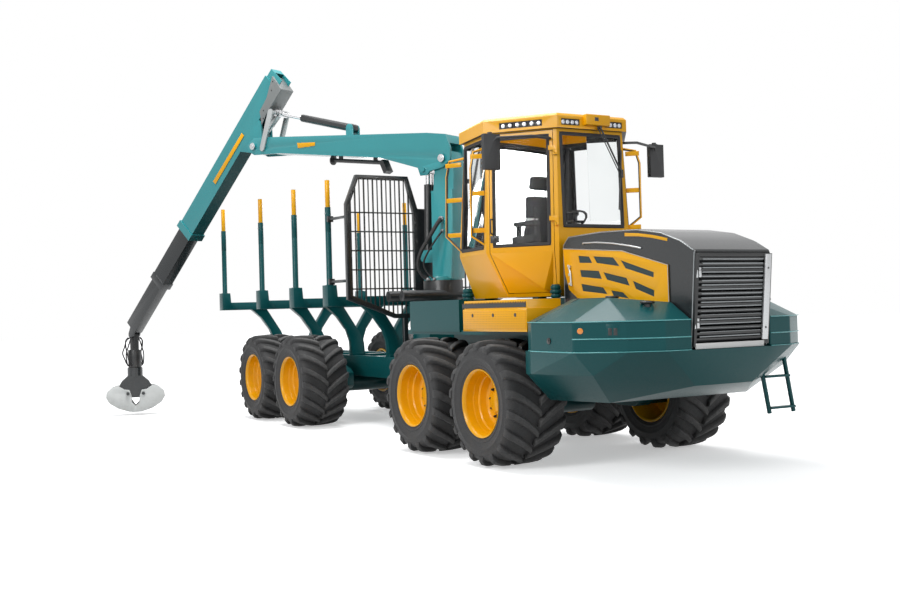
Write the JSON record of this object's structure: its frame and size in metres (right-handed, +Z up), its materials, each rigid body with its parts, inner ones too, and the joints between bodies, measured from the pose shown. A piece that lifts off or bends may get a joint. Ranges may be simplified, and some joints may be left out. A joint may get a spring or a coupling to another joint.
{
  "type": "forestry forwarder",
  "caption": "Articulated wheeled timber forwarder with a load bunk between stakes, a folding crane with a grapple, a glazed cab and a low engine hood.",
  "frame": {"origin": "on the ground under the middle of the bounding box", "axes": "+X towards the engine end, +Y to the machine's left, +Z up"},
  "size_m": [11.7528, 4.6556, 5.3573],
  "materials": {
    "bare_steel": "polished rods",
    "black_paint": "satin",
    "body_teal": "satin",
    "body_yellow": "satin",
    "cab_plastic": "matt",
    "charcoal": "satin",
    "claw_paint": "worn satin",
    "crane_teal": "satin",
    "engine_iron": "rough cast",
    "seat_cloth": "woven",
    "tyre_rubber": "matt",
    "window_glass": "clear"
  },
  "bodies": {
    "rear_body": {"rear_frame": "body_teal", "bolster_1": "body_teal", "bolster_2": "body_teal", "bolster_3": "body_teal", "bolster_4": "body_teal", "headboard": "charcoal", "slew_base": "black_paint", "rear_axle": "body_teal"},
    "front_body": {"front_frame": "body_teal", "tank_left": "body_teal", "tank_right": "body_teal", "step_box_left": "body_yellow", "step_box_right": "body_yellow", "hood": "charcoal", "hood_panel_left": "body_yellow", "hood_panel_right": "body_yellow", "engine": "engine_iron", "cab_shell": "body_yellow", "windscreen": "window_glass", "cab_glass": "window_glass", "cab_interior": "cab_plastic", "seat_cushion": "seat_cloth", "seat_back": "seat_cloth", "mirror_left": "cab_plastic", "front_axle": "body_teal"},
    "door": {"door": "body_yellow", "door_glass": "window_glass", "mirror_right": "cab_plastic"},
    "grille": {"radiator_grille": "black_paint"},
    "column": {"column": "crane_teal"},
    "lift_barrels": {"lift_barrels": "black_paint"},
    "lift_rods": {"lift_rods": "bare_steel"},
    "boom": {"boom": "crane_teal"},
    "stick_barrel": {"stick_barrel": "black_paint"},
    "stick_rod": {"stick_rod": "bare_steel"},
    "link_boom": {"link_boom": "crane_teal"},
    "stick": {"stick": "crane_teal"},
    "link_stick": {"link_stick": "crane_teal"},
    "extension_1": {"extension_1": "charcoal"},
    "extension_2": {"extension_2": "charcoal"},
    "tip_link": {"tip_link": "black_paint"},
    "grapple": {"grapple_body": "charcoal"},
    "claw_a": {"claw_a": "claw_paint"},
    "claw_b": {"claw_b": "claw_paint"},
    "wheel_right_1": {"tyre_right_1": "tyre_rubber", "rim_right_1": "body_yellow"},
    "wheel_right_2": {"tyre_right_2": "tyre_rubber", "rim_right_2": "body_yellow"},
    "wheel_right_3": {"tyre_right_3": "tyre_rubber", "rim_right_3": "body_yellow"},
    "wheel_right_4": {"tyre_right_4": "tyre_rubber", "rim_right_4": "body_yellow"},
    "wheel_left_1": {"tyre_left_1": "tyre_rubber", "rim_left_1": "body_yellow"},
    "wheel_left_2": {"tyre_left_2": "tyre_rubber", "rim_left_2": "body_yellow"},
    "wheel_left_3": {"tyre_left_3": "tyre_rubber", "rim_left_3": "body_yellow"},
    "wheel_left_4": {"tyre_left_4": "tyre_rubber", "rim_left_4": "body_yellow"}
  },
  "joints": [
    {"name": "steering", "type": "hinge", "parent": "rear_body", "child": "front_body", "pos_m": [0.8788, 0.8518, 0.96], "axis": [0, 0, 1], "range_deg": [-40, 40]},
    {"name": "wheel_right_1_spin", "type": "hinge", "parent": "rear_body", "child": "wheel_right_1", "pos_m": [-3.1862, -0.2692, 0.664], "axis": [0, 1, 0], "continuous": true},
    {"name": "wheel_right_2_spin", "type": "hinge", "parent": "rear_body", "child": "wheel_right_2", "pos_m": [-1.6762, -0.2692, 0.664], "axis": [0, 1, 0], "continuous": true},
    {"name": "wheel_right_3_spin", "type": "hinge", "parent": "front_body", "child": "wheel_right_3", "pos_m": [2.1138, -0.2692, 0.664], "axis": [0, 1, 0], "continuous": true},
    {"name": "wheel_right_4_spin", "type": "hinge", "parent": "front_body", "child": "wheel_right_4", "pos_m": [3.6238, -0.2692, 0.664], "axis": [0, 1, 0], "continuous": true},
    {"name": "wheel_left_1_spin", "type": "hinge", "parent": "rear_body", "child": "wheel_left_1", "pos_m": [-3.1862, 1.9728, 0.664], "axis": [0, 1, 0], "continuous": true},
    {"name": "wheel_left_2_spin", "type": "hinge", "parent": "rear_body", "child": "wheel_left_2", "pos_m": [-1.6762, 1.9728, 0.664], "axis": [0, 1, 0], "continuous": true},
    {"name": "wheel_left_3_spin", "type": "hinge", "parent": "front_body", "child": "wheel_left_3", "pos_m": [2.1138, 1.9728, 0.664], "axis": [0, 1, 0], "continuous": true},
    {"name": "wheel_left_4_spin", "type": "hinge", "parent": "front_body", "child": "wheel_left_4", "pos_m": [3.6238, 1.9728, 0.664], "axis": [0, 1, 0], "continuous": true},
    {"name": "door_swing", "type": "hinge", "parent": "front_body", "child": "door", "pos_m": [3.7788, 0.3518, 2.25], "axis": [-0.0296, 0.0259, 0.9992], "range_deg": [0, 80]},
    {"name": "grille_swing", "type": "hinge", "parent": "front_body", "child": "grille", "pos_m": [5.797, 0.3818, 1.2472], "axis": [-0.093, 0, -0.9957], "range_deg": [0, 110]},
    {"name": "crane_slew", "type": "hinge", "parent": "rear_body", "child": "column", "pos_m": [0.3688, 0.8518, 2.04], "axis": [0, 0, 1], "range_deg": [-3, 315]},
    {"name": "boom_lift", "type": "hinge", "parent": "column", "child": "boom", "pos_m": [0.5148, 0.9172, 3.67], "axis": [-0.4083, 0.9128, 0], "range_deg": [-5, 50]},
    {"name": "lift_barrel_tilt", "type": "hinge", "parent": "column", "child": "lift_barrels", "pos_m": [0.1953, 0.7742, 2.37], "axis": [-0.4083, 0.9128, 0], "range_deg": [-1, 1]},
    {"name": "lift_rod_slide", "type": "slide", "parent": "lift_barrels", "child": "lift_rods", "axis": [0.0232, 0.0104, 0.9997], "range_m": [-0.04, 0.3]},
    {"name": "stick_fold", "type": "hinge", "parent": "boom", "child": "stick", "pos_m": [-2.7349, -0.5365, 4.21], "axis": [0.4083, -0.9128, 0], "range_deg": [-15, 35]},
    {"name": "stick_barrel_tilt", "type": "hinge", "parent": "boom", "child": "stick_barrel", "pos_m": [-1.037, 0.223, 4.29], "axis": [0.4083, -0.9128, 0], "range_deg": [-1, 1]},
    {"name": "stick_rod_slide", "type": "slide", "parent": "stick_barrel", "child": "stick_rod", "axis": [-0.8808, -0.394, 0.2626], "range_m": [-0.08, 0.21]},
    {"name": "link_boom_swing", "type": "hinge", "parent": "boom", "child": "link_boom", "pos_m": [-2.5523, -0.4548, 4.16], "axis": [0.4083, -0.9128, 0], "range_deg": [-8, 22]},
    {"name": "link_stick_swing", "type": "hinge", "parent": "stick", "child": "link_stick", "pos_m": [-2.6892, -0.5161, 4.4], "axis": [-0.4083, 0.9128, 0], "range_deg": [-15, 40]},
    {"name": "extension_slide_1", "type": "slide", "parent": "stick", "child": "extension_1", "axis": [-0.6308, -0.2822, -0.7228], "range_m": [-0.95, 0.75]},
    {"name": "extension_slide_2", "type": "slide", "parent": "extension_1", "child": "extension_2", "axis": [-0.6308, -0.2822, -0.7228], "range_m": [-1, 0.75]},
    {"name": "tip_swing", "type": "hinge", "parent": "extension_2", "child": "tip_link", "pos_m": [-5.6194, -1.8268, 1.36], "axis": [-0.4083, 0.9128, 0], "range_deg": [-45, 60]},
    {"name": "grapple_turn", "type": "hinge", "parent": "tip_link", "child": "grapple", "pos_m": [-5.6194, -1.8268, 0.8], "axis": [0, 0, 1], "continuous": true},
    {"name": "claw_a_open", "type": "hinge", "parent": "grapple", "child": "claw_a", "pos_m": [-5.5894, -1.7055, 0.37], "axis": [0.9707, -0.2402, 0], "range_deg": [0, 55]},
    {"name": "claw_b_open", "type": "hinge", "parent": "grapple", "child": "claw_b", "pos_m": [-5.6494, -1.9482, 0.37], "axis": [-0.9707, 0.2402, 0], "range_deg": [0, 55]}
  ],
  "couplings": [
    {"joint": "lift_barrel_tilt", "follows": "boom_lift", "ratio": -0.01},
    {"joint": "lift_rod_slide", "follows": "boom_lift", "m_per_rad": 0.33071},
    {"joint": "stick_barrel_tilt", "follows": "stick_fold", "ratio": 0.008},
    {"joint": "stick_rod_slide", "follows": "stick_fold", "m_per_rad": 0.24064},
    {"joint": "link_boom_swing", "follows": "stick_fold", "ratio": 0.44},
    {"joint": "link_stick_swing", "follows": "stick_fold", "ratio": 0.85},
    {"joint": "claw_b_open", "follows": "claw_a_open", "ratio": 1}
  ]
}
